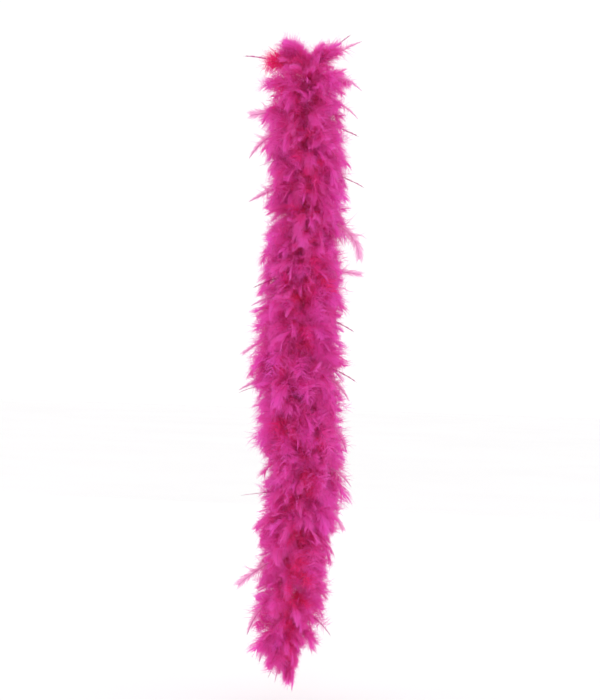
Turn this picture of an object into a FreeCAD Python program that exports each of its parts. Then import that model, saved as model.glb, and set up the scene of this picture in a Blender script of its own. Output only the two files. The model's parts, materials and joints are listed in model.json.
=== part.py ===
import FreeCAD, Part
import math
import os

doc = FreeCAD.newDocument("FeatherBoa")

# Driving dimensions, in mm and degrees. Change one here and the whole boa follows.
DIMENSIONS = [
    # the core cord
    ("core_diameter", 4.0, "two plies of cotton laid together, with the quill butts"),
    ("length_pitch", 133.0, "from one bending point of the core to the next"),
    ("length_count", 12, "stretches of core between bending points"),
    ("bend_gap", 1.0, "clear of a bending point on each side"),
    ("core_head", 13.0, "core above the first stretch, inside the top whipping"),
    ("core_tail", 10.0, "core below the last stretch, through the end knot"),
    # the hanging loop and its whipping
    ("loop_cord_diameter", 2.4, "hanging loop"),
    ("loop_inner_radius", 9.0, "room for a hook, over the bearing point"),
    ("loop_height", 37.0, "bearing point down to the ends of the loop's legs"),
    ("neck_bend_radius", 8.0, "where each leg turns down into the whipping"),
    ("neck_drop", 25.5, "bearing point down to the foot of the neck bends"),
    ("first_bend_drop", 36.0, "bearing point down to the start of the first stretch"),
    ("whipping_length", 12.0, "thread wrapped over the loop's legs and the core"),
    ("whipping_wall", 0.8, "thickness of the wrapped thread"),
    ("knot_diameter", 10.0, "stopper knot in the lower end"),
    ("fit_clearance", 0.05, "between pieces that are wrapped on each other"),
    # the binding thread
    ("binding_wall", 0.5, "thickness of the thread over the core"),
    ("binding_height", 6.0, "one band of thread for each row of feathers"),
    # the feathers
    ("rows_per_length", 7, "rows of feathers on each stretch"),
    ("feathers_per_row", 8, "feathers around the core in a row"),
    ("feather_length", 115.0, "an ordinary feather"),
    ("long_feather_length", 190.0, "a stray feather that stands out of the pile"),
    ("feather_width", 24.0, "at the widest part of the vane"),
    ("feather_thickness", 0.6, "vane and quill as one blade"),
    ("quill_width", 1.6, "bare quill near the core"),
    ("body_lean", 60.0, "feather direction, measured from straight down"),
    ("crown_lean", 140.0, "top row, which stands up around the loop"),
    ("tail_lean", 12.0, "last row, which hangs past the end of the core"),
]
COUNTS = ("length_count", "rows_per_length", "feathers_per_row")

sheet = doc.addObject("Spreadsheet::Sheet", "Dimensions")
for line, (alias, value, note) in enumerate(DIMENSIONS, start=1):
    sheet.set(f"A{line}", alias)
    sheet.set(f"B{line}", str(value))
    sheet.setAlias(f"B{line}", alias)
    sheet.set(f"C{line}", note)
doc.recompute()


def size(alias):
    value = float(sheet.get(alias))
    return int(value) if alias in COUNTS else value


nodes = []


def node(feature, label):
    """Keep a finished piece, under the name its file takes."""
    feature.Label = label
    nodes.append(feature)
    return feature


def bound(kind, name, **expressions):
    """A primitive whose properties follow the sheet. Placement paths use __ for the dot."""
    feature = doc.addObject(kind, name)
    for path, expression in expressions.items():
        feature.setExpression(path.replace("__", "."), expression)
    return feature


def group(name, solids):
    """Separate solids that share one piece's file."""
    feature = doc.addObject("Part::Feature", name)
    feature.Shape = Part.makeCompound(solids)
    return feature


# --- Hanging loop: straight legs, two neck bends and a round head, in the XZ plane ---


def loop_solid():
    cord = size("loop_cord_diameter") / 2
    head = size("loop_inner_radius") + cord
    bend = size("neck_bend_radius")
    leg_x = size("core_diameter") / 2 + cord + size("fit_clearance")
    leg_bottom = -size("loop_height")
    head_z = -size("loop_inner_radius")
    neck_z = -size("neck_drop")

    # The straight run is tangent inside to the head and outside to the neck bend, on opposite sides.
    bend_x = leg_x + bend
    across, down = bend_x, head_z - neck_z
    apart = math.hypot(across, down)
    turn = math.acos((head + bend) / apart)
    toward_bend = math.atan2(-down, across)
    normal = toward_bend + turn

    def at(x, z):
        return FreeCAD.Vector(x, 0, z)

    def on_head(angle):
        return at(head * math.cos(angle), head_z + head * math.sin(angle))

    def on_bend(angle):
        return at(bend_x - bend * math.cos(angle), neck_z - bend * math.sin(angle))

    def mirrored(point):
        return FreeCAD.Vector(-point.x, point.y, point.z)

    head_end, bend_start = on_head(normal), on_bend(normal)
    bend_middle, leg_top = on_bend(normal / 2), on_bend(0)
    leg_end = at(leg_x, leg_bottom)
    path = Part.Wire(
        [
            Part.makeLine(mirrored(leg_end), mirrored(leg_top)),
            Part.Arc(mirrored(leg_top), mirrored(bend_middle), mirrored(bend_start)).toShape(),
            Part.makeLine(mirrored(bend_start), mirrored(head_end)),
            Part.Arc(mirrored(head_end), on_head(math.pi / 2), head_end).toShape(),
            Part.makeLine(head_end, bend_start),
            Part.Arc(bend_start, bend_middle, leg_top).toShape(),
            Part.makeLine(leg_top, leg_end),
        ]
    )
    section = Part.Wire(
        [Part.makeCircle(cord, mirrored(leg_end), FreeCAD.Vector(0, 0, 1))]
    )
    return path.makePipeShell([section], True, False)


loop = doc.addObject("Part::Feature", "HangLoop")
loop.Shape = loop_solid()
node(loop, "hang_loop")

# --- Top whipping: a sleeve of thread over the loop's legs and the top of the core ---

sleeve_bore = (
    "Dimensions.core_diameter / 2 + Dimensions.loop_cord_diameter + 2 * Dimensions.fit_clearance"
)
sleeve_base = "-Dimensions.loop_height - 1"
whipping_outer = bound(
    "Part::Cylinder",
    "WhippingOuter",
    Radius=f"{sleeve_bore} + Dimensions.whipping_wall",
    Height="Dimensions.whipping_length",
    Placement__Base__z=sleeve_base,
)
whipping_inner = bound(
    "Part::Cylinder",
    "WhippingInner",
    Radius=sleeve_bore,
    Height="Dimensions.whipping_length + 2",
    Placement__Base__z=f"{sleeve_base} - 1",
)
whipping = doc.addObject("Part::Cut", "TopWhipping")
whipping.Base, whipping.Tool = whipping_outer, whipping_inner
node(whipping, "top_whipping")

# --- Core cord: one straight stretch between each two bending points ---

LAST = size("length_count") - 1

for index in range(LAST + 1):
    above = "Dimensions.core_head" if index == 0 else "-Dimensions.bend_gap"
    below = "Dimensions.core_tail" if index == LAST else "-Dimensions.bend_gap"
    bottom = f"-Dimensions.first_bend_drop - {index + 1} * Dimensions.length_pitch - ({below})"
    stretch = bound(
        "Part::Cylinder",
        f"Core{index + 1:02d}",
        Radius="Dimensions.core_diameter / 2",
        Height=f"Dimensions.length_pitch + ({above}) + ({below})",
        Placement__Base__z=bottom,
    )
    node(stretch, f"core_cord_{index + 1:02d}")

# --- End knot: a round stopper that the core runs through ---

knot_z = (
    "-Dimensions.first_bend_drop - Dimensions.length_count * Dimensions.length_pitch"
    " - Dimensions.core_tail / 2"
)
knot_ball = bound(
    "Part::Sphere",
    "KnotBall",
    Radius="Dimensions.knot_diameter / 2",
    Placement__Base__z=knot_z,
)
knot_bore = bound(
    "Part::Cylinder",
    "KnotBore",
    Radius="Dimensions.core_diameter / 2 + Dimensions.fit_clearance",
    Height="2 * Dimensions.knot_diameter",
    Placement__Base__z=f"{knot_z} - Dimensions.knot_diameter",
)
knot = doc.addObject("Part::Cut", "EndKnot")
knot.Base, knot.Tool = knot_ball, knot_bore
node(knot, "end_knot")

# --- Binding thread: a band under each row of feathers ---


def row_pitch():
    return size("length_pitch") / size("rows_per_length")


def row_height(index, row):
    """Height of a row's quill butts. Rows count down from the top of each stretch."""
    top = -size("first_bend_drop") - index * size("length_pitch")
    return top - (row + 0.5) * row_pitch()


def binding_band(z):
    inner = size("core_diameter") / 2 + size("fit_clearance")
    outer = inner + size("binding_wall")
    height = size("binding_height")
    base = FreeCAD.Vector(0, 0, z - height / 2)
    return Part.makeCylinder(outer, height, base).cut(Part.makeCylinder(inner, height, base))


for index in range(LAST + 1):
    heights = [row_height(index, row) for row in range(size("rows_per_length"))]
    bands = group(f"Binding{index + 1:02d}", [binding_band(z) for z in heights])
    node(bands, f"binding_thread_{index + 1:02d}")

# --- Feathers: flat blades in rows, each row a cone that nests inside the one above ---

# Outline of a blade: share of its length, and share of its width there.
OUTLINE = [(0.32, 0.07), (0.55, 0.92), (0.72, 1.0), (0.92, 0.7), (1.0, 0.2)]
# Lengths that a row's feathers take in turn, as shares of the ordinary length.
LENGTH_PATTERN = [1.0, 0.88, 0.96, 0.82, 1.0, 0.9, 0.85, 0.95]
CROWN_ROWS = 4
TAIL_ROWS = 4
# Rows of tufts on each stretch, counted from its top. A stray in the second would cross the bending
# point below, so it has none.
TUFT_ROWS = (1, 3)


def blade(length):
    """A blade along +X from the origin, its flat sides facing up and down."""
    width, thickness = size("feather_width"), size("feather_thickness")
    side = [FreeCAD.Vector(0, size("quill_width") / 2, -thickness / 2)]
    side += [
        FreeCAD.Vector(along * length, across * width / 2, -thickness / 2)
        for along, across in OUTLINE
    ]
    other_side = [FreeCAD.Vector(p.x, -p.y, p.z) for p in reversed(side)]
    face = Part.Face(Part.makePolygon(side + other_side + side[:1]))
    return face.extrude(FreeCAD.Vector(0, 0, thickness))


def row_lean(count_from_top, count_from_bottom):
    """Direction of a row's feathers: up at the crown, down at the tail, steady between."""
    body = size("body_lean")
    if count_from_top < CROWN_ROWS:
        return body + (size("crown_lean") - body) * (1 - count_from_top / CROWN_ROWS)
    if count_from_bottom < TAIL_ROWS:
        return body + (size("tail_lean") - body) * (1 - count_from_bottom / TAIL_ROWS)
    return body


def feather_row(index, row):
    """One row of feathers, all leaning alike, turned half a step from the rows beside it."""
    rows = size("rows_per_length")
    from_top = index * rows + row
    from_bottom = (LAST + 1) * rows - 1 - from_top
    lean = row_lean(from_top, from_bottom)
    count = size("feathers_per_row")
    if from_bottom < 2:
        count //= 2
    butt = size("core_diameter") / 2 + 2 * size("fit_clearance") + size("binding_wall")
    butt += size("feather_thickness") / 2 * abs(math.cos(math.radians(lean)))
    in_body = from_top >= CROWN_ROWS and from_bottom >= TAIL_ROWS
    has_stray = in_body and row != TUFT_ROWS[-1]
    row_solids = []
    for turn in range(count):
        length = size("feather_length") * LENGTH_PATTERN[(turn + 3 * from_top) % len(LENGTH_PATTERN)]
        if has_stray and turn == (3 * from_top) % count:
            length = size("long_feather_length")
        feather = blade(length)
        feather.rotate(FreeCAD.Vector(), FreeCAD.Vector(0, 1, 0), 90 - lean)
        feather.translate(FreeCAD.Vector(butt, 0, row_height(index, row)))
        azimuth = 360 / count * (turn + 0.5 * (from_top % 2))
        feather.rotate(FreeCAD.Vector(), FreeCAD.Vector(0, 0, 1), azimuth)
        row_solids.append(feather)
    return row_solids


# Two rows of tufts on each stretch are what the boa rests on. The rows around them are the pile,
# which gives way as the core bends.
for index in range(LAST + 1):
    rows = range(size("rows_per_length"))
    tufts = [feather for row in rows if row in TUFT_ROWS for feather in feather_row(index, row)]
    pile = [feather for row in rows if row not in TUFT_ROWS for feather in feather_row(index, row)]
    node(group(f"Tufts{index + 1:02d}", tufts), f"feather_tufts_{index + 1:02d}")
    node(group(f"Pile{index + 1:02d}", pile), f"feather_pile_{index + 1:02d}")

# --- Checks and files ---

doc.recompute()

for feature in doc.Objects:
    if "Invalid" in feature.State or "Error" in feature.State:
        raise RuntimeError(f"{feature.Name} didn't recompute: {feature.State}")
for feature in nodes:
    if feature.Shape.isNull() or not feature.Shape.isValid():
        raise RuntimeError(f"{feature.Label} has no valid shape")

os.makedirs("parts", exist_ok=True)
for feature in nodes:
    feature.Shape.exportStep(f"parts/{feature.Label}.step")
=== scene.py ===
"""A feather boa hanging by the loop at its top end.

Every length is in metres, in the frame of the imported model: the origin is where the loop bears on its
hook, +Z is up, +X is to the right, and the camera looks along +Y.
"""

import json
import math
from collections import namedtuple

import bpy
import numpy as np
from mathutils import Euler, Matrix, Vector

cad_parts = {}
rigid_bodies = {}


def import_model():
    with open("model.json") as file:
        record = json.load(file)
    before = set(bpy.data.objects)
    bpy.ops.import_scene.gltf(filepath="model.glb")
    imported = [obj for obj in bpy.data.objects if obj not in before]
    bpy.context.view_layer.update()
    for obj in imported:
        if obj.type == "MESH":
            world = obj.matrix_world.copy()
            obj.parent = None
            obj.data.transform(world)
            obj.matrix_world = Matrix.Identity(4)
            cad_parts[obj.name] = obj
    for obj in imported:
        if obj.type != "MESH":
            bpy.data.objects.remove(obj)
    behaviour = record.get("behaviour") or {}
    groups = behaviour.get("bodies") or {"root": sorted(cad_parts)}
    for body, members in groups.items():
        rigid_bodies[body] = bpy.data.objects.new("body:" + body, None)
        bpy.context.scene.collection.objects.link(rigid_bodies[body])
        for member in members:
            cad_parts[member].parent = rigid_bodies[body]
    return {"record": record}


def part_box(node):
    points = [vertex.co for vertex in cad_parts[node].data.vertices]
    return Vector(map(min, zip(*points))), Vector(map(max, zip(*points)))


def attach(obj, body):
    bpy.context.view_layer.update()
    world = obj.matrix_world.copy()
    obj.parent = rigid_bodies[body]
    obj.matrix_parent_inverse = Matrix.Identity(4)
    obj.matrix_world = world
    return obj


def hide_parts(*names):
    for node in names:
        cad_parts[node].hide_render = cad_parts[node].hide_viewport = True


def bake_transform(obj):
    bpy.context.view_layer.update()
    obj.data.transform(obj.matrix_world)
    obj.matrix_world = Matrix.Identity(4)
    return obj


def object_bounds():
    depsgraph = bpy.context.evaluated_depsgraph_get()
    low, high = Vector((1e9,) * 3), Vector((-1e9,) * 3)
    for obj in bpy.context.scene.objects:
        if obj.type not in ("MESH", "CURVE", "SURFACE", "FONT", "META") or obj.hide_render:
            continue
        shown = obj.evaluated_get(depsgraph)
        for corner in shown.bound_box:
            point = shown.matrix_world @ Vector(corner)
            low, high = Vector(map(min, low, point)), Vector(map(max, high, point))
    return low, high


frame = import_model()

CAD_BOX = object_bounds()

JOINTS = frame["record"]["behaviour"]["joints"]
BENDS = sorted((joint["pos_m"][2] for joint in JOINTS), reverse=True)
BODIES = [JOINTS[0]["parent"]] + [joint["child"] for joint in JOINTS]
PITCH = BENDS[0] - BENDS[1]
CORE_LOW, CORE_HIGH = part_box("core_cord_01")
CORE_DIAMETER = CORE_HIGH[0] - CORE_LOW[0]
CORE_TOP = CORE_HIGH[2]
CORE_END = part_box(f"core_cord_{len(BODIES):02d}")[0][2]
KNOT_LOW, KNOT_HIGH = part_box("end_knot")
WHIPPING_LOW, WHIPPING_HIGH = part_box("top_whipping")
LOOP_LOW, LOOP_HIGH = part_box("hang_loop")

# ---------------------------------------------------------------- camera, stage and light

VIEW_HEIGHT = 1.926  # how much of the upright plane through the boa the camera takes in
LENS = 110.0
SENSOR = 36.0
LEAN = math.radians(1.86)  # how far the hanging boa leans in the picture
AIM = Vector((0.0, 0.0, -0.806))
FLOOR_DROP = 0.05


def link(thing):
    bpy.context.scene.collection.objects.link(thing)
    return thing


def make_camera():
    data = bpy.data.cameras.new("camera")
    data.lens = LENS
    data.sensor_width = SENSOR
    distance = VIEW_HEIGHT * LENS / SENSOR
    camera = link(bpy.data.objects.new("camera", data))
    camera.location = AIM - Vector((0, distance, 0))
    camera.rotation_euler = Euler((math.pi / 2, -LEAN, 0), "XYZ")
    bpy.context.scene.camera = camera


def make_light(name, place, width, watts):
    data = bpy.data.lights.new(name, "AREA")
    data.size = width
    data.energy = watts
    light = link(bpy.data.objects.new(name, data))
    light.location = place
    light.rotation_euler = (AIM - light.location).to_track_quat("-Z", "Y").to_euler()


def make_world():
    world = bpy.data.worlds.new("studio")
    world.use_nodes = True
    background = world.node_tree.nodes["Background"]
    background.inputs["Color"].default_value = (1.0, 0.99, 0.995, 1)
    background.inputs["Strength"].default_value = 1.05
    bpy.context.scene.world = world


make_camera()
make_world()
make_light("key", (-0.5, -6.4, 0.0), 2.2, 55)
make_light("back", (1.5, 6.4, 0.8), 6.0, 40)
bpy.context.scene.view_settings.view_transform = "Standard"

# ---------------------------------------------------------------- materials

TILES = 5  # the feathers' own map is a square of this many tiles a side, one tint to a tile
RECESS_ROW = 0  # the tiles of the down close to the core, tinted as painted light: the deep red of the pile's shaded hollows
BACKLIT_ROW = 1  # the tiles of the thin feathers that stand out of the pile, tinted pale pink as painted light showing through them
DARK_ROW = 2  # the tiles of the spikes, whose close barbs hold more dye


class Nodes:
    """A new material's node tree, with short calls for adding to it."""

    def __init__(self, name):
        self.material = bpy.data.materials.new(name)
        self.material.use_nodes = True
        self.tree = self.material.node_tree
        self.tree.nodes.clear()

    def add(self, kind, inputs=None, **settings):
        """A node. inputs maps a socket's name or number to a value or to another node's output."""
        made = self.tree.nodes.new("ShaderNode" + kind)
        for name, value in settings.items():
            setattr(made, name, value)
        for socket, value in (inputs or {}).items():
            if isinstance(value, bpy.types.NodeSocket):
                self.tree.links.new(value, made.inputs[socket])
            else:
                made.inputs[socket].default_value = value
        return made

    def maths(self, operation, first, second=0.0, third=0.0):
        return self.add("Math", {0: first, 1: second, 2: third}, operation=operation).outputs[0]

    def blend(self, factor, first, second):
        mix = self.add("Mix", data_type="RGBA")
        for socket, value in ((mix.inputs[0], factor), (mix.inputs[6], first), (mix.inputs[7], second)):
            if isinstance(value, bpy.types.NodeSocket):
                self.tree.links.new(value, socket)
            else:
                socket.default_value = value
        return mix.outputs[2]

    def ramp(self, factor, stops):
        made = self.add("ValToRGB", {0: factor})
        band = made.color_ramp.elements
        while len(band) < len(stops):
            band.new(0.5)
        for element, (place, colour) in zip(band, stops):
            element.position = place
            element.color = (*colour, 1)
        return made.outputs[0]

    def finish(self, surface):
        self.add("OutputMaterial", {"Surface": surface})
        return self.material


def feather_map(nodes):
    """Where a point is on its feather, as four outputs: its tile's number pair, its place in that tile,
    its share of the way from butt to tip, and its share of the way from the quill to the vane's edge."""
    place = nodes.add("UVMap", uv_map="OFBake").outputs[0]
    scaled = nodes.add("VectorMath", {0: place, 3: TILES}, operation="SCALE").outputs[0]
    tile = nodes.add("VectorMath", {0: scaled}, operation="FLOOR").outputs[0]
    inside = nodes.add("VectorMath", {0: scaled}, operation="FRACTION").outputs[0]
    parts = nodes.add("SeparateXYZ", {0: inside})
    along, across = parts.outputs[0], parts.outputs[1]
    outward = nodes.maths("ABSOLUTE", nodes.maths("MULTIPLY_ADD", across, 2.0, -1.0))
    return tile, inside, along, outward


def feather_material(name, stops, backlit_edge_colour, glow):
    """Dyed barbs: stops run from butt to tip, the edge colour is the vane's edge, painted paler for the
    light that shows through thin barb ends, and glow is the share of the light that comes through. Each few
    barbs have a streak of their own."""
    nodes = Nodes(name)
    tile, inside, along, outward = feather_map(nodes)
    dye = nodes.ramp(along, stops)
    own = nodes.add("TexWhiteNoise", {"Vector": tile}, noise_dimensions="2D")
    # Painted light: the barbs grow paler toward the vane's edge, for the light that shows through their
    # thin ends.
    edge = nodes.maths("POWER", outward, 2.0)
    dye = nodes.blend(nodes.maths("MULTIPLY", edge, 0.45), dye, (*backlit_edge_colour, 1))
    row = nodes.add("SeparateXYZ", {0: tile}).outputs[1]
    # Painted light in the row tints: the recess row is the red of the pile's shaded hollows, and the
    # backlit row the pale pink of light coming through thin feathers.
    for number, colour, share in ROW_TINTS:
        in_row = nodes.maths("COMPARE", row, number, 0.5)
        dye = nodes.blend(nodes.maths("MULTIPLY", in_row, share), dye, (*colour, 1))
    stretch = nodes.add("VectorMath", {0: inside, 1: (70, 5, 1)}, operation="MULTIPLY").outputs[0]
    shifted = nodes.add("VectorMath", {0: stretch, 1: own.outputs[1]}, operation="ADD").outputs[0]
    streak = nodes.add("TexNoise", {"Vector": shifted, "Scale": 1.0, "Detail": 3.0}).outputs[0]
    shade = nodes.maths("MULTIPLY_ADD", streak, 0.12, 0.92)
    hue = nodes.maths("MULTIPLY_ADD", own.outputs[0], 0.022, 0.489)
    value = nodes.maths("MULTIPLY_ADD", own.outputs[0], -0.03, 1.0)
    dye = nodes.add(
        "HueSaturation",
        {"Hue": hue, "Value": nodes.maths("MULTIPLY", shade, value), "Color": dye},
    ).outputs[0]
    bump = nodes.add("Bump", {"Height": streak, "Strength": 0.35, "Distance": 0.0006}).outputs[0]
    front = nodes.add(
        "BsdfPrincipled",
        {
            "Base Color": dye,
            "Roughness": 0.62,
            "Specular IOR Level": 0.25,
            "Sheen Weight": 0.2,
            "Sheen Roughness": 0.45,
            "Sheen Tint": (1.0, 0.72, 0.9, 1),
            "Normal": bump,
        },
    ).outputs[0]
    through = nodes.add("BsdfTranslucent", {"Color": dye}).outputs[0]
    return nodes.finish(nodes.add("MixShader", {0: glow, 1: front, 2: through}).outputs[0])


def quill_material():
    """Horn: darker and redder at the butt, a thin purple line toward the tip."""
    nodes = Nodes("quill")
    _, inside, along, _ = feather_map(nodes)
    stops = [(0.0, (0.62, 0.04, 0.17)), (0.5, (0.52, 0.03, 0.20)), (1.0, (0.26, 0.012, 0.14))]
    dye = nodes.ramp(along, stops)
    grain = nodes.add("TexNoise", {"Vector": inside, "Scale": 60.0, "Detail": 4.0}).outputs[0]
    dye = nodes.blend(nodes.maths("MULTIPLY", grain, 0.35), dye, (0.62, 0.16, 0.34, 1))
    shader = nodes.add(
        "BsdfPrincipled",
        {"Base Color": dye, "Roughness": 0.5, "Specular IOR Level": 0.12},
    )
    return nodes.finish(shader.outputs[0])


def cotton_material(name, dye, shadow, scale):
    """Dyed yarn: fine fibres that run along the ply, and broad patches that lean toward its shadow colour.
    """
    nodes = Nodes(name)
    place = nodes.add("UVMap", uv_map="OFBake").outputs[0]
    stretch = nodes.add("VectorMath", {0: place, 1: (scale, 9, 1)}, operation="MULTIPLY").outputs[0]
    fibre = nodes.add("TexNoise", {"Vector": stretch, "Scale": 1.0, "Detail": 6.0}).outputs[0]
    wave = nodes.add("TexNoise", {"Vector": place, "Scale": 14.0, "Detail": 2.0}).outputs[0]
    colour = nodes.ramp(fibre, [(0.3, shadow), (0.7, dye)])
    colour = nodes.blend(nodes.maths("MULTIPLY", wave, 0.3), colour, (*shadow, 1))
    bump = nodes.add("Bump", {"Height": fibre, "Strength": 0.6, "Distance": 0.0003}).outputs[0]
    shader = nodes.add(
        "BsdfPrincipled",
        {
            "Base Color": colour,
            "Roughness": 0.85,
            "Specular IOR Level": 0.2,
            "Sheen Weight": 0.3,
            "Sheen Roughness": 0.5,
            "Normal": bump,
        },
    )
    return nodes.finish(shader.outputs[0])


def floor_material():
    nodes = Nodes("studio_floor")
    place = nodes.add("TexCoord").outputs["Object"]
    mottle = nodes.add("TexNoise", {"Vector": place, "Scale": 0.8, "Detail": 2.0}).outputs[0]
    colour = nodes.ramp(mottle, [(0.3, (0.94, 0.94, 0.94)), (0.7, (0.96, 0.96, 0.96))])
    shader = nodes.add("BsdfPrincipled", {"Base Color": colour, "Roughness": 0.9})
    return nodes.finish(shader.outputs[0])


# Painted light: the butt colours of the vane's ramp are brighter and redder than the tip's, for the red
# light that fills the pile's hollows.
RECESS_RED = (0.985, 0.034, 0.290)
ROSE = (0.985, 0.085, 0.510)
PINK = (0.94, 0.125, 0.620)
# the edge colour, paler as painted light through thin barb ends
BACKLIT_EDGE = (0.92, 0.240, 0.690)
# a pale pink painted on the thin strays, for the light that shows through them from behind
BACKLIT_PINK = (0.95, 0.500, 0.760)
DARK = (0.50, 0.020, 0.220)
ROW_TINTS = [(RECESS_ROW, RECESS_RED, 0.8), (BACKLIT_ROW, BACKLIT_PINK, 0.85), (DARK_ROW, DARK, 0.6)]

VANE = feather_material(
    "feather_vane",
    [(0.0, RECESS_RED), (0.35, ROSE), (0.75, PINK), (1.0, PINK)],
    BACKLIT_EDGE,
    0.6,
)
QUILL = quill_material()
CORD = cotton_material("core_yarn", (0.55, 0.03, 0.15), (0.30, 0.008, 0.06), 300)
LOOP = cotton_material("loop_yarn", (0.60, 0.04, 0.20), (0.34, 0.010, 0.08), 80)
THREAD = cotton_material("sewing_thread", (0.48, 0.02, 0.13), (0.25, 0.006, 0.05), 400)


def make_floor():
    mesh = bpy.data.meshes.new("floor")
    half = 30.0
    height = CAD_BOX[0][2] - FLOOR_DROP
    corners = [(-half, -half, height), (half, -half, height), (half, half, height), (-half, half, height)]
    mesh.from_pydata(corners, [], [(0, 1, 2, 3)])
    mesh.materials.append(floor_material())
    link(bpy.data.objects.new("floor", mesh))


make_floor()

# ---------------------------------------------------------------- meshes


def mesh_piece(name, points, quads, uv, materials, kinds=None):
    """A mesh object from arrays: points (n, 3), quads (m, 4) of point numbers, uv (n, 2) to a point."""
    mesh = bpy.data.meshes.new(name)
    mesh.vertices.add(len(points))
    mesh.vertices.foreach_set("co", np.ascontiguousarray(points, np.float32).ravel())
    mesh.loops.add(quads.size)
    mesh.loops.foreach_set("vertex_index", np.ascontiguousarray(quads, np.int32).ravel())
    mesh.polygons.add(len(quads))
    mesh.polygons.foreach_set("loop_start", np.arange(0, quads.size, 4, dtype=np.int32))
    mesh.polygons.foreach_set("use_smooth", np.ones(len(quads), bool))
    if kinds is not None:
        mesh.polygons.foreach_set("material_index", np.ascontiguousarray(kinds, np.int32))
    layer = mesh.uv_layers.new(name="OFBake")
    layer.data.foreach_set("uv", np.ascontiguousarray(uv[quads.ravel()], np.float32).ravel())
    for material in materials:
        mesh.materials.append(material)
    mesh.update(calc_edges=True)
    mesh.validate()
    return link(bpy.data.objects.new(name, mesh))


def unit(vectors):
    return vectors / np.maximum(np.linalg.norm(vectors, axis=-1, keepdims=True), 1e-12)


def swept_tube(line, radius, sides):
    """Points, quads and uv of an open round tube along line (n, 3). radius is a number, or one to a
    point of the line."""
    tangent = unit(np.gradient(line, axis=0))
    across = np.cross(tangent, (0.0, 1.0, 0.0))
    flat = np.linalg.norm(across, axis=1) < 0.2
    across[flat] = np.cross(tangent[flat], (1.0, 0.0, 0.0))
    across = unit(across)
    up = np.cross(tangent, across)
    turn = np.arange(sides) * 2 * math.pi / sides
    ring = across[:, None] * np.cos(turn)[:, None] + up[:, None] * np.sin(turn)[:, None]
    points = line[:, None] + ring * np.broadcast_to(radius, len(line))[:, None, None]
    first = np.arange(len(line) - 1)[:, None] * sides
    here, beside = np.arange(sides), (np.arange(sides) + 1) % sides
    quads = np.stack(
        [first + here, first + beside, first + sides + beside, first + sides + here], axis=-1
    ).reshape(-1, 4)
    uv = np.stack(
        np.broadcast_arrays(
            np.linspace(0.01, 0.99, len(line))[:, None],
            np.abs(np.linspace(-0.98, 0.98, sides))[None],
        ),
        axis=-1,
    )
    return points.reshape(-1, 3), quads, uv.reshape(-1, 2)


def joined(parts):
    """Several (points, quads, uv) as one."""
    starts = np.cumsum([0] + [len(points) for points, _, _ in parts[:-1]])
    points = np.concatenate([points for points, _, _ in parts])
    quads = np.concatenate([quads + start for (_, quads, _), start in zip(parts, starts)])
    uv = np.concatenate([uv for _, _, uv in parts])
    return points, quads, uv


# ---------------------------------------------------------------- cords

CORE_ROUTE = [
    (0.000, 0.000, CORE_TOP),
    (0.000, 0.000, -0.060),
    (-0.003, 0.002, -0.150),
    (0.002, -0.001, -0.260),
    (0.006, 0.001, -0.380),
    (0.003, 0.002, -0.520),
    (-0.003, -0.002, -0.660),
    (-0.004, -0.001, -0.800),
    (0.002, 0.002, -0.950),
    (0.007, 0.001, -1.090),
    (0.007, -0.002, -1.200),
    (0.002, 0.001, -1.330),
    (-0.001, 0.002, -1.450),
    (0.001, 0.000, -1.560),
    (0.000, 0.000, CORE_END),
]
LOOP_ROUTE = [
    (-0.0032, 0.000, LOOP_LOW[2]),
    (-0.0032, 0.000, -0.0305),
    (-0.0034, 0.000, -0.0245),
    (-0.0075, 0.000, -0.0180),
    (-0.0112, 0.000, -0.0120),
    (-0.0110, 0.000, -0.0030),
    (-0.0060, 0.000, 0.0018),
    (0.0060, 0.000, 0.0018),
    (0.0110, 0.000, -0.0030),
    (0.0112, 0.000, -0.0120),
    (0.0075, 0.000, -0.0180),
    (0.0034, 0.000, -0.0245),
    (0.0032, 0.000, -0.0305),
    (0.0032, 0.000, LOOP_LOW[2]),
]


PLY_RADIUS = 0.29  # of one of a cord's two plies, in diameters of the cord
PLY_SIDES = 8
CORE_LAY = 0.016  # length of core in which a ply goes round once
LOOP_LAY = 0.010
KNOT_LAY = 0.012
THREAD_SIDES = 5
BINDING_RADIUS = 0.00035  # of the thread that binds the quills
BINDING_PITCH = 0.0045  # between two of its turns
WHIPPING_RADIUS = 0.00045
WHIPPING_PITCH = 0.0009
WHIPPING_LAYERS = 2
WHIPPING_LAYER_DEPTH = 0.0006


def route_line(route, step):
    """Points of the smooth line that follows a route, as its NURBS curve gives them, about step apart."""
    curve = bpy.data.curves.new("route", "CURVE")
    curve.dimensions = "3D"
    spline = curve.splines.new("NURBS")
    spline.points.add(len(route) - 1)
    for point, place in zip(spline.points, route):
        point.co = (*place, 1)
    spline.order_u = 3
    spline.use_endpoint_u = True
    spline.resolution_u = 24
    holder = link(bpy.data.objects.new("route", curve))
    bpy.context.view_layer.update()
    mesh = bpy.data.meshes.new_from_object(holder)
    line = np.array([vertex.co for vertex in mesh.vertices])
    bpy.data.objects.remove(holder)
    bpy.data.meshes.remove(mesh)
    run = np.concatenate([[0], np.cumsum(np.linalg.norm(np.diff(line, axis=0), axis=1))])
    places = np.linspace(0, run[-1], max(2, round(run[-1] / step) + 1))
    return np.stack([np.interp(places, run, line[:, axis]) for axis in range(3)], axis=1)


def helix(line, radius, pitch, phase=0.0):
    """A line that winds round another, one turn to a pitch."""
    tangent = unit(np.gradient(line, axis=0))
    across = unit(np.cross(tangent, (0.0, 1.0, 0.0)))
    up = np.cross(tangent, across)
    run = np.concatenate([[0], np.cumsum(np.linalg.norm(np.diff(line, axis=0), axis=1))])
    turn = (run / pitch * 2 * math.pi + phase)[:, None]
    return line + radius * (across * np.cos(turn) + up * np.sin(turn))


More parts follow.
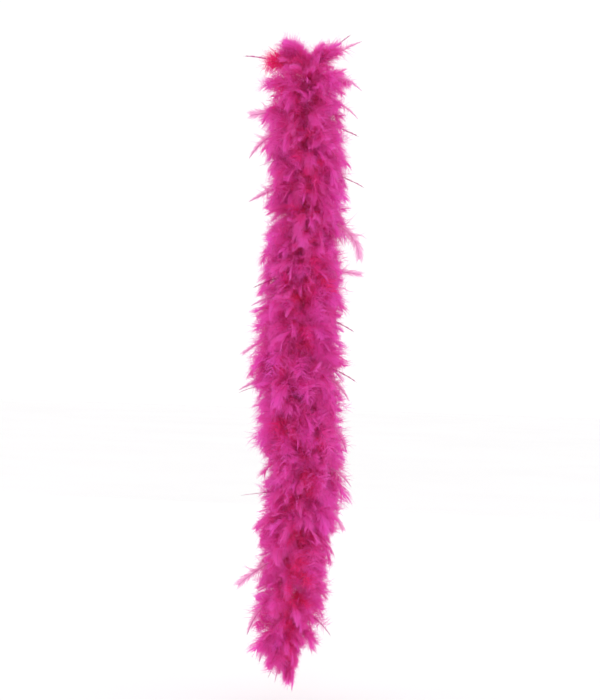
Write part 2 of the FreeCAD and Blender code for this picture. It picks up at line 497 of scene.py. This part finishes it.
def two_ply(line, diameter, lay):
    """The two twisted plies of a cord that follows line."""
    ply = PLY_RADIUS * diameter
    offset = diameter / 2 - ply
    return joined(
        [swept_tube(helix(line, offset, lay, phase), ply, PLY_SIDES) for phase in (0, math.pi)]
    )


# The boa is cut at the middle of each stretch. Each piece between two cuts crosses one bending point. The
# pieces above the first cut and below the last have no bend in them.
CUTS = [BENDS[0] + PITCH / 2] + [bend - PITCH / 2 for bend in BENDS]
SPANS = list(zip([math.inf] + CUTS, CUTS + [-math.inf]))


def fasten(piece, number, kind):
    """Fix an end span's piece to its stretch, or leave a middle one unparented, and stand for the CAD node
    of this kind on the upper.
    """
    if number == 0:
        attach(piece, BODIES[0])
    elif number == len(CUTS):
        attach(piece, BODIES[-1])
    else:
        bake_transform(piece)
    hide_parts(f"{kind}_{max(number, 1):02d}")


def make_core():
    """The core cord and the thread that binds the quills to it."""
    line = route_line(CORE_ROUTE, 0.001)
    winding = helix(line, CORE_DIAMETER / 2 + 0.0004, BINDING_PITCH)
    offset = (0.5 - PLY_RADIUS) * CORE_DIAMETER
    plies = [helix(line, offset, CORE_LAY, phase) for phase in (0, math.pi)]
    for number, (top, bottom) in enumerate(SPANS):
        inside = np.flatnonzero((line[:, 2] <= top + 0.001) & (line[:, 2] >= bottom - 0.001))
        tubes = [swept_tube(ply[inside], PLY_RADIUS * CORE_DIAMETER, PLY_SIDES) for ply in plies]
        core = mesh_piece(f"core_yarn_{number + 1:02d}", *joined(tubes), [CORD])
        fasten(core, number, "core_cord")
        thread = mesh_piece(
            f"binding_{number + 1:02d}",
            *swept_tube(winding[inside], BINDING_RADIUS, THREAD_SIDES),
            [THREAD],
        )
        fasten(thread, number, "binding_thread")


def make_loop():
    """The hanging loop, and the whipping that holds its legs to the core."""
    diameter = LOOP_HIGH[1] - LOOP_LOW[1]
    line = route_line(LOOP_ROUTE, 0.0006)
    loop = mesh_piece("loop_yarn", *two_ply(line, diameter, LOOP_LAY), [LOOP])
    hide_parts("hang_loop")
    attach(loop, BODIES[0])
    wrap_radius = (WHIPPING_HIGH[0] - WHIPPING_LOW[0]) / 2 - 0.0004
    heights = np.arange(WHIPPING_LOW[2] + 0.0004, WHIPPING_HIGH[2] - 0.0004, 0.00008)
    axis = np.stack([np.zeros_like(heights), np.zeros_like(heights), heights], axis=1)
    wraps = []
    for layer in range(WHIPPING_LAYERS):
        turns = helix(axis, wrap_radius - layer * WHIPPING_LAYER_DEPTH, WHIPPING_PITCH, layer * 2.0)
        wraps.append(swept_tube(turns, WHIPPING_RADIUS, THREAD_SIDES))
    whipping = mesh_piece("whipping_thread", *joined(wraps), [THREAD])
    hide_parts("top_whipping")
    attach(whipping, BODIES[0])


def make_knot():
    """The core's end wound round itself into a ball, as a stopper knot, and the frayed yarn below it."""
    middle = (KNOT_LOW[2] + KNOT_HIGH[2]) / 2
    size = (KNOT_HIGH[0] - KNOT_LOW[0]) / 2
    turn = np.linspace(0, 2 * math.pi, 7)[:-1] + 0.4
    route = [(0, 0, KNOT_HIGH[2] + 0.003), (0, 0, KNOT_HIGH[2])]
    for step, angle in enumerate(turn):
        rise = 0.35 * size * math.cos(1.5 * angle)
        route.append((0.62 * size * math.cos(angle), 0.62 * size * math.sin(angle), middle + rise))
    route += [(0, 0, middle), (0, 0, KNOT_LOW[2]), (0, 0, CORE_END)]
    line = route_line(route, 0.0005)
    parts = [two_ply(line, 0.8 * CORE_DIAMETER, KNOT_LAY)]
    rng = np.random.default_rng(71)
    for _ in range(60):
        start = np.array([*rng.normal(0, 0.0007, 2), CORE_END + 0.002])
        spread = np.array([*rng.normal(0, 0.004, 2), -rng.uniform(0.008, 0.017)])
        along = np.linspace(0, 1, 6)[:, None]
        curl = rng.normal(0, 0.0012, 3) * np.sin(along * math.pi)
        parts.append(swept_tube(start + spread * along + curl, 0.00016, 3))
    knot = mesh_piece("knot_yarn", *joined(parts), [CORD])
    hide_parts("end_knot")
    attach(knot, BODIES[-1])


make_core()
make_loop()
make_knot()

# ---------------------------------------------------------------- feather patterns

# A pattern is one flat feather, drawn in shares of its own length: s runs from butt to tip, y to the
# side and n out of the vane. Placed feathers copy a pattern onto a curved quill.
Pattern = namedtuple("Pattern", "points quads outward quill")

QUILL_BUTT = 0.0066  # the quill's radius at its butt
QUILL_TIP = 0.0022
VANE_START = 0.40
VANE_BARBS = 34  # on each side
FRINGE_BARBS = 36  # loose ones that reach past the vane's edge
DOWN_WIDTH = 0.0085


def barbs(rng, starts, angle, roll, length, width, curl, wave, steps):
    """Thin strips that leave the quill at starts, each of so many steps. The rest are numbers, or one to
    a barb: angle from the quill, roll round it, length, width, curl toward the tip, and wave from side to
    side."""
    count = len(starts)
    t = np.linspace(0, 1, steps + 1)
    angle, roll, length, width, curl, wave = (
        np.broadcast_to(value, count)[:, None] for value in (angle, roll, length, width, curl, wave)
    )
    heading = angle - curl * t
    stride = length / steps
    middle = (heading[:, 1:] + heading[:, :-1]) / 2
    nothing = np.zeros((count, 1))
    forward = np.concatenate([nothing, np.cumsum(np.cos(middle), axis=1)], axis=1) * stride
    away = np.concatenate([nothing, np.cumsum(np.sin(middle), axis=1)], axis=1) * stride
    sway = wave * length * np.sin(t * rng.uniform(3, 8, (count, 1)) + rng.uniform(0, 6, (count, 1))) * t
    y = away * np.cos(roll) - sway * np.sin(roll)
    n = away * np.sin(roll) + sway * np.cos(roll)
    centre = np.stack([starts[:, None] + forward, y, n], axis=-1)
    side = np.stack(
        [-np.sin(heading), np.cos(heading) * np.cos(roll), np.cos(heading) * np.sin(roll)], axis=-1
    )
    taper = (width / 2 * np.maximum(1 - t**1.5, 0.08))[..., None]
    points = np.stack([centre - side * taper, centre + side * taper], axis=2)
    first = (np.arange(count)[:, None] * (steps + 1) + np.arange(steps)) * 2
    quads = np.stack([first, first + 1, first + 3, first + 2], axis=-1).reshape(-1, 4)
    outward = np.repeat(np.broadcast_to(t, (count, steps + 1)).reshape(-1), 2)
    sign = np.repeat(np.where(np.cos(roll) >= 0, 1.0, -1.0), 2 * (steps + 1))
    return points.reshape(-1, 3), quads, outward * sign


def quill_tube(reach):
    """A quill from the butt as far as reach."""
    s = np.linspace(0, reach, 10)
    line = np.stack([s, np.zeros(10), np.zeros(10)], axis=1)
    radius = QUILL_BUTT + (QUILL_TIP - QUILL_BUTT) * (s / reach) ** 0.7
    points, quads, _ = swept_tube(line, radius, 3)
    return points, quads, np.zeros(len(points))


def assembled(parts, quill):
    """A pattern of barbs and a quill."""
    points, quads, outward = joined([(p, q, o[:, None]) for p, q, o in parts + [quill]])
    is_quill = np.zeros(len(quads), int)
    is_quill[-len(quill[1]) :] = 1
    return Pattern(points, quads, outward[:, 0], is_quill)


def splits(rng, starts, groups, amount):
    """A vane's barbs lie in groups that part from one another: an angle to add to each barb."""
    edges = np.sort(rng.uniform(starts[0], starts[-1], groups))
    return rng.normal(0, amount, groups + 1)[np.searchsorted(edges, starts)]


def vane_half_width(starts, widest, point):
    """The vane's outline. A point of 1 is a long pointed tip, and 0 a blunt, square one."""
    share = (starts - VANE_START) / (1 - VANE_START)
    shoulder = np.clip(share / 0.22, 0, 1) ** 0.6
    close = 1 - np.clip((share - 0.25) / 0.75, 0, 1) ** (1.3 + 9 * (1 - point))
    return widest * shoulder * np.maximum(close, 0.02)


def down(rng, count, start, end, length, spread):
    """Soft wavy barbs that stand out all round the lower quill."""
    starts = np.sort(start + (end - start) * rng.beta(1.3, 1.3, count))
    side = rng.integers(0, 2, count) * math.pi
    roll = side + rng.normal(0, spread, count)
    angle = np.radians(rng.normal(62, 14, count))
    long = length * rng.uniform(0.55, 1.15, count)
    return barbs(rng, starts, angle, roll, long, DOWN_WIDTH, rng.normal(0.25, 0.5, count), 0.09, 3)


def flat_feather(seed, widest, point, fluff, reach=0.97, close=1.25):
    """A turkey flat: a vane of barbs that lie side by side over its upper half, and down below. close
    is a barb's width in gaps between barbs."""
    rng = np.random.default_rng(seed)
    parts = []
    for side in (0, 1):
        starts = np.linspace(VANE_START, 0.985, VANE_BARBS)
        half = vane_half_width(starts, widest * rng.uniform(0.8, 1.05), point)
        angle = np.radians(np.interp(starts, [VANE_START, 1], [52, 26]))
        angle = angle + splits(rng, starts, 5, 0.13) + rng.normal(0, 0.03, VANE_BARBS)
        cup = rng.uniform(0.1, 0.4) + splits(rng, starts, 4, 0.15)
        roll = math.pi - cup if side else cup
        gap = (starts[1] - starts[0]) * np.sin(angle)
        length = half / np.sin(angle) * rng.uniform(0.80, 1.08, VANE_BARBS)
        parts.append(barbs(rng, starts, angle, roll, length, close * gap, 0.3, 0.0, 3))
    starts = rng.uniform(VANE_START, 0.93, FRINGE_BARBS)
    half = vane_half_width(starts, widest, point)
    angle = np.radians(rng.normal(44, 9, FRINGE_BARBS))
    roll = rng.integers(0, 2, FRINGE_BARBS) * math.pi + rng.normal(0, 0.25, FRINGE_BARBS)
    fringe = half / np.sin(angle) * rng.uniform(1.05, 1.45, FRINGE_BARBS)
    parts.append(barbs(rng, starts, angle, roll, fringe, 0.0050, 0.35, 0.05, 3))
    parts.append(down(rng, fluff, 0.03, 0.72, 0.27, 0.55))
    return assembled(parts, quill_tube(reach))


def fluff_feather(seed):
    """A feather that is nearly all down, as those near the skin are."""
    rng = np.random.default_rng(seed)
    parts = [
        down(rng, 100, 0.05, 0.8, 0.34, 0.7),
        down(rng, 50, 0.5, 0.98, 0.26, 0.5),
    ]
    return assembled(parts, quill_tube(0.9))


def spike_feather(seed):
    """A narrow feather whose barbs lie close along the quill and end in a spike."""
    rng = np.random.default_rng(seed)
    starts = np.tile(np.linspace(0.3, 0.96, 40), 2)
    roll = np.repeat([0.0, math.pi], 40) + rng.normal(0, 0.3, 80)
    angle = np.radians(rng.normal(17, 5, 80))
    length = 0.11 * (1.05 - starts) / 0.75 + 0.03
    parts = [
        down(rng, 90, 0.03, 0.60, 0.22, 0.5),
        barbs(rng, starts, angle, roll, length, 0.008, 0.12, 0.0, 2),
    ]
    return assembled(parts, quill_tube(1.03))


FLATS = [
    flat_feather(seed, widest, point, 86)
    for seed, widest, point in [
        (1, 0.150, 0.95),
        (2, 0.180, 0.80),
        (3, 0.160, 0.70),
        (4, 0.190, 0.55),
        (5, 0.130, 1.00),
        (6, 0.170, 0.35),
        (7, 0.165, 0.80),
        (8, 0.200, 0.65),
    ]
]
TUFT = fluff_feather(16)
BLUNT = flat_feather(21, 0.090, 0.0, 60, reach=0.985, close=1.15)
POINTED = flat_feather(22, 0.080, 1.0, 70, reach=0.99, close=1.15)
FLUFFS = [fluff_feather(seed) for seed in (11, 12, 13, 14)]
SPIKE = spike_feather(15)
PATTERNS = FLATS + FLUFFS + [TUFT, BLUNT, POINTED, SPIKE]
FIRST_FLUFF = len(FLATS)
NARROW_KIND = 4  # the narrowest and most pointed of FLATS
SLIM_KIND = 0  # the next narrowest and most pointed
TUFT_KIND, BLUNT_KIND, POINTED_KIND, SPIKE_KIND = range(len(PATTERNS) - 4, len(PATTERNS))
PLAIN_ROWS = [3, 4]
ROWS_OF_KIND = {
    TUFT_KIND: [RECESS_ROW],
    BLUNT_KIND: [BACKLIT_ROW],
    POINTED_KIND: [BACKLIT_ROW],
    SPIKE_KIND: [DARK_ROW],
}

# ---------------------------------------------------------------- where the feathers go

# One placed feather. height is where its butt meets the core. azimuth is 0 toward +X and -90 toward the
# camera; lean is measured from straight down, at the butt and at the tip; swing turns it sideways along
# its length and roll turns its flat side. Angles are in degrees. kind is its pattern's number, and wide
# stretches it across.
Feather = namedtuple("Feather", "height azimuth length lean tip_lean swing roll kind wide")

# How far the pile reaches from the core on each side: height, left, right.
REACH = [
    (0.050, 0.090, 0.110),
    (-0.050, 0.110, 0.105),
    (-0.100, 0.105, 0.104),
    (-0.200, 0.120, 0.096),
    (-0.280, 0.110, 0.106),
    (-0.360, 0.106, 0.112),
    (-0.450, 0.106, 0.108),
    (-0.520, 0.118, 0.116),
    (-0.600, 0.118, 0.112),
    (-0.700, 0.120, 0.112),
    (-0.800, 0.124, 0.118),
    (-0.880, 0.128, 0.128),
    (-0.950, 0.126, 0.118),
    (-1.030, 0.116, 0.130),
    (-1.100, 0.098, 0.134),
    (-1.170, 0.096, 0.126),
    (-1.240, 0.104, 0.118),
    (-1.310, 0.112, 0.118),
    (-1.380, 0.102, 0.100),
    (-1.450, 0.092, 0.100),
    (-1.530, 0.106, 0.096),
    (-1.600, 0.104, 0.052),
]
CLUMPS = 210
FLATS_IN_CLUMP = 5
FLUFFS_IN_CLUMP = 6
TUFTS = 220  # short down close to the core, tinted as painted light with the deep red of the pile's shaded hollows
PARTING = 12.0  # degrees by which the pile parts at the front and the back
HOOKED = 0.12  # share of the flats that curl right round at the tip
FEATHERS_TOP = WHIPPING_LOW[2] - 0.004
FEATHERS_END = KNOT_HIGH[2]
GOLDEN_ANGLE = 137.508
MEAN_DROP = 0.045  # how far below its butt a feather reaches its widest

# How far a feather of the pile leans from straight down, in degrees: in the body, with what the crown adds
# at the front and back, what it adds further at the sides, what the tail takes off, and the most.
Lean = namedtuple("Lean", "body crown crown_side tail most")
BUTT_LEAN = Lean(88, 28, 36, 62, 160)
TIP_LEAN = Lean(38, 22, 30, 32, 122)


def reach_at(height, azimuth):
    """How far the pile reaches from the core at a height, toward an azimuth."""
    heights, left, right = (np.array(column)[::-1] for column in zip(*REACH))
    side = math.cos(math.radians(azimuth))
    left_reach = np.interp(height, heights, left)
    right_reach = np.interp(height, heights, right)
    sideways = right_reach if side > 0 else left_reach
    return side**2 * sideways + (1 - side**2) * (left_reach + right_reach) / 2


def ease(value, low, high):
    """0 up to low, 1 from high on, and a smooth rise between them."""
    share = min(max((value - low) / (high - low), 0.0), 1.0)
    return share * share * (3 - 2 * share)


def usual_lean(lean, crown, tail, sideways):
    """A feather's lean before chance: crown, tail and sideways are each a share from 0 to 1."""
    return lean.body + crown * (lean.crown + lean.crown_side * sideways) - tail * lean.tail


def placed(rng, height, azimuth, lift, long, kind):
    """A feather of the pile, whose lean follows from how near it is to the crown or the tail."""
    crown = ease(height, -0.120, FEATHERS_TOP)
    tail = ease(-height, -(FEATHERS_END + 0.13), -FEATHERS_END)
    sideways = abs(math.cos(math.radians(azimuth)))
    lean = usual_lean(BUTT_LEAN, crown, tail, sideways) + lift
    tip_lean = usual_lean(TIP_LEAN, crown, tail, sideways) + 1.2 * lift
    lean = min(lean + rng.normal(0, 13), BUTT_LEAN.most)
    tip_lean = min(tip_lean + rng.normal(14, 26) * (1 - tail), TIP_LEAN.most)
    if kind < FIRST_FLUFF and rng.random() < HOOKED:
        tip_lean = rng.uniform(-60, 0)
    tail_reach = 0.055 - 0.020 * math.cos(math.radians(azimuth))
    reach = reach_at(height - MEAN_DROP, azimuth) * (1 - tail) + tail_reach * tail
    middle = lean + 0.44 * (tip_lean - lean)
    spread = (math.sin(math.radians(lean)) + 2 * math.sin(math.radians(middle))) / 4
    spread += math.sin(math.radians(tip_lean)) / 4
    length = reach / max(spread, 0.75) * long * rng.uniform(0.86, 1.06) * (1 - 0.22 * crown)
    return Feather(
        height,
        azimuth,
        length,
        lean,
        tip_lean,
        rng.normal(0, 30),
        rng.uniform(-110, 110),
        kind,
        rng.uniform(0.85, 1.2),
    )


def parting_at(height):
    """How far round the parting has wandered at a height, in degrees."""
    return 14 * math.sin(height * 9.0) + 9 * math.sin(height * 23.0 + 1.0)


def pile():
    """Clumps of feathers down the core, each clump a few flats over some down."""
    rng = np.random.default_rng(2024)
    found = []
    for clump in range(CLUMPS):
        share = (clump + 0.5) / CLUMPS
        height = FEATHERS_TOP + (FEATHERS_END - FEATHERS_TOP) * share
        azimuth = clump * GOLDEN_ANGLE + rng.normal(0, 10)
        azimuth += PARTING * math.sin(math.radians(2 * (azimuth + 90 - parting_at(height))))
        lift = rng.normal(0, 7)
        long = rng.uniform(0.86, 1.00)
        for number in range(FLATS_IN_CLUMP + FLUFFS_IN_CLUMP):
            flat = number < FLATS_IN_CLUMP
            kind = rng.integers(0, FIRST_FLUFF) if flat else FIRST_FLUFF + rng.integers(0, len(FLUFFS))
            found.append(
                placed(
                    rng,
                    min(max(height + rng.normal(0, 0.012), FEATHERS_END), FEATHERS_TOP),
                    azimuth + rng.normal(0, 27 if flat else 50),
                    lift if flat else rng.normal(0, 14),
                    long if flat else rng.uniform(0.66, 1.06),
                    int(kind),
                )
            )
    for tuft in range(TUFTS):
        height = FEATHERS_TOP + (FEATHERS_END - FEATHERS_TOP) * (tuft + 0.5) / TUFTS
        azimuth = (90 if tuft % 3 == 0 else -90) + parting_at(height) + rng.normal(0, 20)
        found.append(placed(rng, height, azimuth, rng.normal(0, 14), rng.uniform(0.62, 0.92), TUFT_KIND))
    return found


# A bunch of feathers that lie together, in the same terms as one feather. spread is how far round the
# core they fan out.
Bunch = namedtuple("Bunch", "height azimuth spread length lean tip_lean flats fluffs")

BUNCHES = [
    # left side of the crown, which rises and curls over
    Bunch(-0.043, 178, 34, 0.097, 173, 118, 7, 6),
    Bunch(-0.045, 183, 30, 0.116, 168, 98, 7, 6),
    Bunch(-0.048, 180, 36, 0.118, 155, 84, 5, 4),
    # right side, a little lower
    Bunch(-0.045, 2, 30, 0.092, 166, 116, 5, 5),
    Bunch(-0.048, 0, 32, 0.124, 150, 98, 6, 5),
    # below the crown, where it parts from the drooping pile
    Bunch(-0.066, -80, 60, 0.118, 112, 84, 4, 6),
    Bunch(-0.080, -110, 60, 0.120, 100, 66, 4, 6),
    Bunch(-0.070, 90, 80, 0.118, 108, 76, 4, 6),
    Bunch(-0.098, -85, 50, 0.112, 92, 60, 4, 6),
    Bunch(-0.098, 90, 60, 0.112, 92, 60, 3, 5),
    Bunch(-0.072, 180, 40, 0.112, 104, 76, 2, 3),
    Bunch(-0.072, 0, 40, 0.108, 104, 76, 2, 3),
    # low between the two sides, over the loop
    Bunch(-0.042, -90, 45, 0.058, 166, 118, 6, 6),
    Bunch(-0.042, 90, 45, 0.058, 166, 118, 6, 6),
    # a round tuft that leans out to the left
    Bunch(-0.046, 184, 4, 0.125, 116, 84, 0, 10),
    # the tail
    Bunch(-1.555, 190, 14, 0.122, 60, 20, 5, 3),
    Bunch(-1.590, 215, 18, 0.118, 46, 12, 5, 3),
    Bunch(-1.622, 250, 40, 0.096, 16, 4, 6, 2),
    Bunch(-1.545, -15, 16, 0.104, 62, 26, 4, 3),
]

# Feathers that stand out of the pile, from the top down.
STRAYS = [
    # left side
    Feather(-0.046, 178, 0.182, 116, 90, 0, 60, SPIKE_KIND, 0.8),
    Feather(-0.075, 186, 0.138, 95, 72, 0, 60, FIRST_FLUFF + 1, 0.9),
    Feather(-0.130, 183, 0.158, 74, 80, 0, 95, BLUNT_KIND, 1.4),
    Feather(-0.180, 187, 0.195, 78, 28, 4, 95, POINTED_KIND, 1.1),
    Feather(-0.270, 178, 0.130, 82, 68, 0, 0, SPIKE_KIND, 0.8),
    Feather(-0.330, 186, 0.175, 70, 58, 0, 90, POINTED_KIND, 1.1),
    Feather(-0.590, 190, 0.140, 76, 62, 0, 60, SPIKE_KIND, 1.1),
    Feather(-0.640, 182, 0.145, 78, 60, 0, 80, POINTED_KIND, 0.9),
    Feather(-0.745, 184, 0.170, 74, 50, 0, 70, BLUNT_KIND, 0.6),
    Feather(-0.860, 182, 0.175, 78, 58, 5, 75, POINTED_KIND, 1.0),
    Feather(-0.880, 188, 0.165, 80, 66, 0, 20, SPIKE_KIND, 1.2),
    Feather(-1.190, 180, 0.150, 84, 80, 0, 15, SPIKE_KIND, 0.8),
    Feather(-1.360, 186, 0.178, 66, 46, 0, 85, BLUNT_KIND, 1.1),
    Feather(-1.460, 184, 0.185, 64, 14, 0, 85, POINTED_KIND, 1.3),
    Feather(-1.530, 183, 0.165, 48, 10, 0, 85, POINTED_KIND, 1.6),
    # right side
    Feather(-0.045, 4, 0.154, 142, 128, 0, 60, SPIKE_KIND, 0.9),
    Feather(-0.045, -5, 0.170, 132, 112, 0, 80, POINTED_KIND, 0.9),
    Feather(-0.060, 5, 0.158, 108, 44, 0, 80, POINTED_KIND, 0.8),
    Feather(-0.120, -4, 0.155, 98, 38, 0, 70, POINTED_KIND, 0.7),
    Feather(-0.170, 6, 0.145, 80, 66, 0, 60, SPIKE_KIND, 1.3),
    Feather(-0.310, -3, 0.160, 86, 60, 0, 60, SPIKE_KIND, 0.8),
    Feather(-0.455, -8, 0.205, 104, 0, 0, 100, BLUNT_KIND, 1.0),
    Feather(-0.575, -4, 0.160, 84, 82, 0, 90, BLUNT_KIND, 0.9),
    Feather(-0.700, 5, 0.155, 82, 58, 0, 60, SPIKE_KIND, 1.0),
    Feather(-0.835, -4, 0.165, 84, 56, 0, 60, SPIKE_KIND, 0.9),
    Feather(-0.850, 6, 0.175, 80, 28, 0, 80, POINTED_KIND, 1.0),
    Feather(-0.985, -6, 0.180, 88, 10, 0, 85, POINTED_KIND, 1.4),
    Feather(-1.100, -2, 0.170, 84, 34, 0, 80, POINTED_KIND, 0.8),
    Feather(-1.170, 6, 0.155, 82, 52, 0, 70, POINTED_KIND, 0.7),
    Feather(-1.210, -7, 0.160, 80, 26, 0, 90, BLUNT_KIND, 0.8),
    Feather(-1.500, 5, 0.140, 62, 36, 0, 60, SPIKE_KIND, 0.7),
    # tail
    Feather(-1.615, 195, 0.108, 44, 20, 10, 60, SPIKE_KIND, 1.2),
    Feather(-1.600, 184, 0.100, 56, 30, 0, 60, SPIKE_KIND, 1.0),
    Feather(-1.618, 205, 0.112, 32, 12, 10, 70, POINTED_KIND, 1.2),
    Feather(-1.622, 235, 0.098, 22, 10, 0, 30, NARROW_KIND, 0.9),
    Feather(-1.622, -60, 0.100, 16, -6, 0, 40, NARROW_KIND, 0.7),
    Feather(-1.620, 262, 0.098, 12, -4, 0, 30, NARROW_KIND, 0.7),
    Feather(-1.626, -50, 0.118, 10, -2, 0, 40, NARROW_KIND, 0.5),
    Feather(-1.626, -80, 0.096, 14, 2, 0, 40, SLIM_KIND, 0.7),
]


def bunched(rng, bunch):
    """The feathers of a bunch."""
    fluffs = [TUFT_KIND] if bunch.flats == 0 else range(FIRST_FLUFF, FIRST_FLUFF + len(FLUFFS))
    kinds = [*rng.integers(0, FIRST_FLUFF, bunch.flats), *rng.choice(fluffs, bunch.fluffs)]
    return [
        Feather(
            bunch.height + rng.normal(0, 0.004),
            bunch.azimuth + rng.uniform(-bunch.spread, bunch.spread),
            bunch.length * rng.uniform(0.85, 1.05),
            bunch.lean + rng.normal(0, 5),
            bunch.tip_lean + rng.normal(0, 10),
            rng.normal(0, 12),
            rng.uniform(-100, 100),
            int(kind),
            rng.uniform(0.9, 1.2),
        )
        for kind in kinds
    ]


CURVE_STEPS = 25
CURVE_END = 1.15  # barbs at the tip run on past the quill, so its curve does too, in feather lengths
BUTT_RADIUS = CORE_DIAMETER / 2 + 0.0006
CORE_LINE = route_line(CORE_ROUTE, 0.004)


def core_at(height):
    """The core's centre at a height, as x and y."""
    heights = CORE_LINE[::-1, 2]
    return np.stack(
        [np.interp(height, heights, CORE_LINE[::-1, 0]), np.interp(height, heights, CORE_LINE[::-1, 1])],
        axis=-1,
    )


def laid_out(pattern, feathers):
    """The pattern's points for each of several feathers, bent along that feather's curved quill: an
    array of (feathers, points, 3)."""
    column = {name: np.array([getattr(f, name) for f in feathers], float) for name in Feather._fields}
    s = np.linspace(0, CURVE_END, CURVE_STEPS)
    lean = np.radians(
        column["lean"][:, None] + (column["tip_lean"] - column["lean"])[:, None] * s**1.2
    )
    azimuth = np.radians(column["azimuth"][:, None] + column["swing"][:, None] * s)
    tangent = np.stack(
        [np.sin(lean) * np.cos(azimuth), np.sin(lean) * np.sin(azimuth), -np.cos(lean)], axis=-1
    )
    stride = column["length"][:, None, None] * (s[1] - s[0])
    middle = (tangent[:, 1:] + tangent[:, :-1]) / 2
    start = np.zeros((len(feathers), 1, 3))
    start[:, 0, :2] = core_at(column["height"])
    start[:, 0, 2] = column["height"]
    start[:, 0] += BUTT_RADIUS * np.stack(
        [np.cos(azimuth[:, 0]), np.sin(azimuth[:, 0]), np.zeros(len(feathers))], axis=-1
    )
    quill = np.concatenate([start, start + np.cumsum(middle * stride, axis=1)], axis=1)
    side = np.stack([-np.sin(azimuth), np.cos(azimuth), np.zeros_like(azimuth)], axis=-1)
    face = np.cross(tangent, side)
    roll = np.radians(column["roll"])[:, None, None] * s[:, None]
    width_way = side * np.cos(roll) + face * np.sin(roll)
    face_way = face * np.cos(roll) - side * np.sin(roll)

    place = np.clip(pattern.points[:, 0], 0, CURVE_END - 0.001) / (s[1] - s[0])
    before = place.astype(int)
    share = (place - before)[None, :, None]

    def at_points(values):
        return values[:, before] * (1 - share) + values[:, before + 1] * share

    long = column["length"][:, None, None]
    wide = long * column["wide"][:, None, None]
    return (
        at_points(quill)
        + at_points(width_way) * pattern.points[None, :, 1, None] * wide
        + at_points(face_way) * pattern.points[None, :, 2, None] * long
    )


def tile_uv(pattern, row, column):
    """Each feather's place in the map: (feathers, points, 2)."""
    along = np.clip(pattern.points[:, 0], 0, 1) * 0.96 + 0.02
    across = pattern.outward * 0.47 + 0.5
    inside = np.stack([along, across], axis=-1)[None]
    corner = np.stack([column, row], axis=-1)[:, None]
    return (inside + corner) / TILES


def make_feathers(feathers, name, rng):
    """One mesh of many feathers."""
    points, quads, uv, kinds = [], [], [], []
    start = 0
    for kind, pattern in enumerate(PATTERNS):
        chosen = [feather for feather in feathers if feather.kind == kind]
        if not chosen:
            continue
        laid = laid_out(pattern, chosen)
        offsets = start + np.arange(len(chosen)) * len(pattern.points)
        points.append(laid.reshape(-1, 3))
        quads.append((pattern.quads[None] + offsets[:, None, None]).reshape(-1, 4))
        row = rng.choice(ROWS_OF_KIND.get(kind, PLAIN_ROWS), len(chosen))
        column = rng.integers(0, TILES, len(chosen))
        uv.append(tile_uv(pattern, row, column).reshape(-1, 2))
        kinds.append(np.tile(pattern.quill, len(chosen)))
        start += laid.shape[0] * laid.shape[1]
    return mesh_piece(
        name,
        np.concatenate(points),
        np.concatenate(quads),
        np.concatenate(uv),
        [VANE, QUILL],
        np.concatenate(kinds),
    )


def make_boa():
    """All the feathers, as a piece of flats and a piece of down in each span."""
    rng = np.random.default_rng(5)
    feathers = pile() + STRAYS + [f for bunch in BUNCHES for f in bunched(rng, bunch)]
    is_fluff = [FIRST_FLUFF <= f.kind <= TUFT_KIND for f in feathers]
    flats = [f for f, fluff in zip(feathers, is_fluff) if not fluff]
    fluffs = [f for f, fluff in zip(feathers, is_fluff) if fluff]
    for number, (top, bottom) in enumerate(SPANS):
        for name, kept, cad in (("flats", flats, "tufts"), ("down", fluffs, "pile")):
            chosen = [f for f in kept if bottom <= f.height - MEAN_DROP / 2 < top]
            piece = make_feathers(chosen, f"{name}_{number + 1:02d}", rng)
            fasten(piece, number, f"feather_{cad}")


make_boa()
